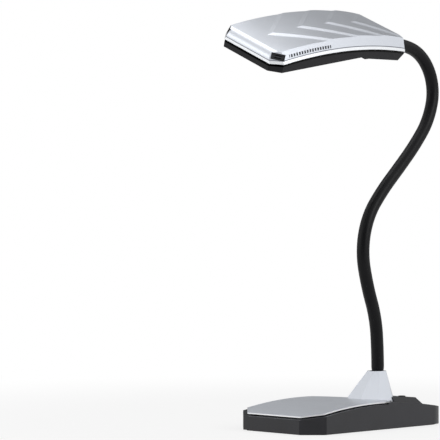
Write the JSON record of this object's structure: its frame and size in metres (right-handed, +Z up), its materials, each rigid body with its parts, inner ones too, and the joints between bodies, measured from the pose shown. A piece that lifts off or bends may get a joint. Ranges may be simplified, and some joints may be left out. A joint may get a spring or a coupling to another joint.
{
  "type": "piano lamp",
  "caption": "Piano lamp: arched weighted base with two push buttons, bendable gooseneck, and a long chevron-stepped LED head that swivels and tilts.",
  "frame": {"origin": "point on the rest face below the neck's foot, under the base", "axes": "+Z up, -Y toward the player (the head reaches this way), +X to the lamp's left as it faces the player"},
  "size_m": [0.12, 0.317, 0.4524],
  "materials": {
    "silver_plastic": "metallic silver paint on moulded plastic, fine satin",
    "black_plastic": "fine moulded grain, satin",
    "button_black": "smooth, softly domed",
    "sleeve_rubber": "matt black sleeve",
    "pad_rubber": "matt non-slip sheet",
    "link_metal": "turned",
    "zinc_steel": "zinc plated",
    "black_steel": "black powder coat",
    "ballast_iron": "as cast, dark",
    "lens_white": "opal diffuser",
    "led_phosphor": "yellow phosphor",
    "white_board": "white solder mask",
    "green_board": "green solder mask",
    "spreader_aluminium": "mill finish",
    "vent_grey": "dark grey satin"
  },
  "bodies": {
    "base": {"base_shell": "black_plastic", "base_cover": "silver_plastic", "base_plate": "black_steel", "base_pad": "pad_rubber", "ballast": "ballast_iron", "base_screws": "zinc_steel", "collar_screws": "zinc_steel", "rear_hood": "black_plastic", "control_board": "green_board", "board_screw": "zinc_steel", "button_switches": "black_plastic", "dc_jack": "black_plastic", "collar": "silver_plastic", "neck_anchor": "zinc_steel", "neck_washer": "zinc_steel", "neck_nut": "zinc_steel", "neck_link_01": "link_metal", "neck_sleeve_01": "sleeve_rubber"},
    "neck_02": {"neck_link_02": "link_metal", "neck_sleeve_02": "sleeve_rubber"},
    "neck_03": {"neck_link_03": "link_metal", "neck_sleeve_03": "sleeve_rubber"},
    "neck_04": {"neck_link_04": "link_metal", "neck_sleeve_04": "sleeve_rubber"},
    "neck_05": {"neck_link_05": "link_metal", "neck_sleeve_05": "sleeve_rubber"},
    "neck_06": {"neck_link_06": "link_metal", "neck_sleeve_06": "sleeve_rubber"},
    "neck_07": {"neck_link_07": "link_metal", "neck_sleeve_07": "sleeve_rubber"},
    "neck_08": {"neck_link_08": "link_metal", "neck_sleeve_08": "sleeve_rubber"},
    "neck_09": {"neck_link_09": "link_metal", "neck_sleeve_09": "sleeve_rubber"},
    "neck_10": {"neck_link_10": "link_metal", "neck_sleeve_10": "sleeve_rubber"},
    "neck_11": {"neck_link_11": "link_metal", "neck_sleeve_11": "sleeve_rubber"},
    "neck_end": {"neck_link_12": "link_metal", "neck_cuff": "black_steel", "swivel_washer": "black_plastic", "swivel_clip": "zinc_steel"},
    "arm": {"knuckle_arm": "black_steel"},
    "head": {"head_cover": "silver_plastic", "head_housing": "black_plastic", "corner_vents": "vent_grey", "side_grilles": "vent_grey", "head_screws": "zinc_steel", "light_panel": "lens_white", "light_frame": "black_plastic", "led_chips": "led_phosphor", "led_board": "white_board", "heat_spreader": "spreader_aluminium", "light_screws": "zinc_steel", "tilt_washers": "black_plastic", "pivot_bolt": "zinc_steel", "pivot_nut": "zinc_steel"},
    "power_button": {"power_button": "button_black"},
    "dimmer_button": {"dimmer_button": "button_black"}
  },
  "joints": [
    {"name": "lower_bend_1", "type": "hinge", "parent": "base", "child": "neck_02", "pos_m": [0, -0.00151, 0.09579], "axis": [1, 0, 0], "range_deg": [-8, 8], "deforming": ["neck_sleeve_01"]},
    {"name": "side_bend_2", "type": "hinge", "parent": "neck_02", "child": "neck_03", "pos_m": [0, -0.01026, 0.13296], "axis": [0, 0.9272, 0.3746], "range_deg": [-8, 8], "deforming": ["neck_sleeve_02"]},
    {"name": "lower_bend_3", "type": "hinge", "parent": "neck_03", "child": "neck_04", "pos_m": [0, -0.02193, 0.16944], "axis": [1, 0, 0], "range_deg": [-8, 8], "deforming": ["neck_sleeve_03"]},
    {"name": "side_bend_4", "type": "hinge", "parent": "neck_04", "child": "neck_05", "pos_m": [0, -0.02177, 0.2074], "axis": [0, 0.9703, -0.2419], "range_deg": [-8, 8], "deforming": ["neck_sleeve_04"]},
    {"name": "lower_bend_5", "type": "hinge", "parent": "neck_05", "child": "neck_06", "pos_m": [0, -0.00437, 0.24118], "axis": [1, 0, 0], "range_deg": [-8, 8], "deforming": ["neck_sleeve_05"]},
    {"name": "side_bend_6", "type": "hinge", "parent": "neck_06", "child": "neck_07", "pos_m": [0, 0.02236, 0.26862], "axis": [0, 0.6691, -0.7431], "range_deg": [-8, 8], "deforming": ["neck_sleeve_06"]},
    {"name": "upper_bend_7", "type": "hinge", "parent": "neck_07", "child": "neck_08", "pos_m": [0, 0.05051, 0.29464], "axis": [1, 0, 0], "range_deg": [-10, 8], "deforming": ["neck_sleeve_07"]},
    {"name": "upper_bend_8", "type": "hinge", "parent": "neck_08", "child": "neck_09", "pos_m": [0, 0.07676, 0.32254], "axis": [1, 0, 0], "range_deg": [-10, 8], "deforming": ["neck_sleeve_08"]},
    {"name": "upper_bend_9", "type": "hinge", "parent": "neck_09", "child": "neck_10", "pos_m": [0, 0.09432, 0.35628], "axis": [1, 0, 0], "range_deg": [-10, 8], "deforming": ["neck_sleeve_09"]},
    {"name": "upper_bend_10", "type": "hinge", "parent": "neck_10", "child": "neck_11", "pos_m": [0, 0.08913, 0.39323], "axis": [1, 0, 0], "range_deg": [-10, 8], "deforming": ["neck_sleeve_10"]},
    {"name": "upper_bend_11", "type": "hinge", "parent": "neck_11", "child": "neck_end", "pos_m": [0, 0.05918, 0.41559], "axis": [1, 0, 0], "range_deg": [-10, 8], "deforming": ["neck_sleeve_11"]},
    {"name": "head_swivel", "type": "hinge", "parent": "neck_end", "child": "arm", "pos_m": [0, 0.01324, 0.4164], "axis": [0, 0.989, 0.1478], "range_deg": [-70, 70]},
    {"name": "head_tilt", "type": "hinge", "parent": "arm", "child": "head", "pos_m": [0, -0.02859, 0.41015], "axis": [-0.8957, -0.0657, 0.4398], "range_deg": [-35, 10]},
    {"name": "power_button_press", "type": "slide", "parent": "base", "child": "power_button", "axis": [0, 0, -1], "range_m": [0, 0.0012], "stiffness_N_per_m": 400, "springref_m": -0.0008},
    {"name": "dimmer_button_press", "type": "slide", "parent": "base", "child": "dimmer_button", "axis": [0, 0, -1], "range_m": [0, 0.0012], "stiffness_N_per_m": 400, "springref_m": -0.0008}
  ],
  "couplings": [
    {"joint": "lower_bend_3", "follows": "lower_bend_1", "ratio": 1},
    {"joint": "lower_bend_5", "follows": "lower_bend_1", "ratio": 1},
    {"joint": "side_bend_4", "follows": "side_bend_2", "ratio": 1},
    {"joint": "side_bend_6", "follows": "side_bend_2", "ratio": 1},
    {"joint": "upper_bend_8", "follows": "upper_bend_7", "ratio": 1},
    {"joint": "upper_bend_9", "follows": "upper_bend_7", "ratio": 1},
    {"joint": "upper_bend_10", "follows": "upper_bend_7", "ratio": 1},
    {"joint": "upper_bend_11", "follows": "upper_bend_7", "ratio": 1}
  ]
}
